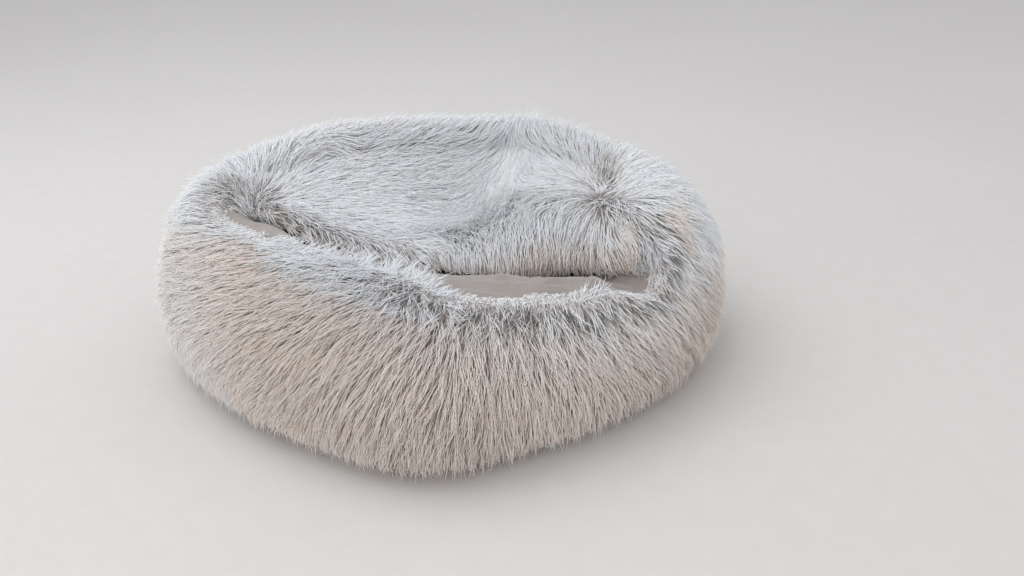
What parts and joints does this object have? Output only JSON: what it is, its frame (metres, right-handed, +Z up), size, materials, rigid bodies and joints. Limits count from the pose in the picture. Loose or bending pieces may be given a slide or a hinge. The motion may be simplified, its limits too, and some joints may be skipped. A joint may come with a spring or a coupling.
{
  "type": "cat bed",
  "caption": "Round padded nest with long-pile fur sides, a smooth lining, a loose cushion and a soft hood over its back half whose front flap lifts.",
  "frame": {"origin": "middle of the bed's outline, on the floor under it", "axes": "+Z up, +X across the mouth to the right as seen from the front, -Y out of the mouth"},
  "size_m": [0.577, 0.497, 0.1957],
  "materials": {
    "long_pile": "long faux fur, pale tips over grey-beige roots",
    "short_pile": "short plush, warm grey-beige",
    "wadding": "soft white wadding",
    "grip_cloth": "plain woven cloth, dark grey"
  },
  "bodies": {
    "nest": {"base_cloth": "grip_cloth", "base_wadding": "wadding", "nest_floor": "short_pile", "wall_fur": "long_pile", "wall_filling": "wadding", "wall_lining": "short_pile", "lip_piping": "short_pile", "canopy_fur": "long_pile", "canopy_wadding": "wadding", "canopy_lining": "short_pile", "cushion_top_cloth": "short_pile", "cushion_bottom_cloth": "short_pile", "cushion_filling": "wadding"},
    "hood": {"hood_fur": "long_pile", "hood_wadding": "wadding", "hood_lining": "short_pile"}
  },
  "joints": [
    {"name": "hood_lift", "type": "hinge", "parent": "nest", "child": "hood", "pos_m": [0, -0.0111, 0.17574], "axis": [-1, 0, 0], "range_deg": [0, 70]}
  ]
}
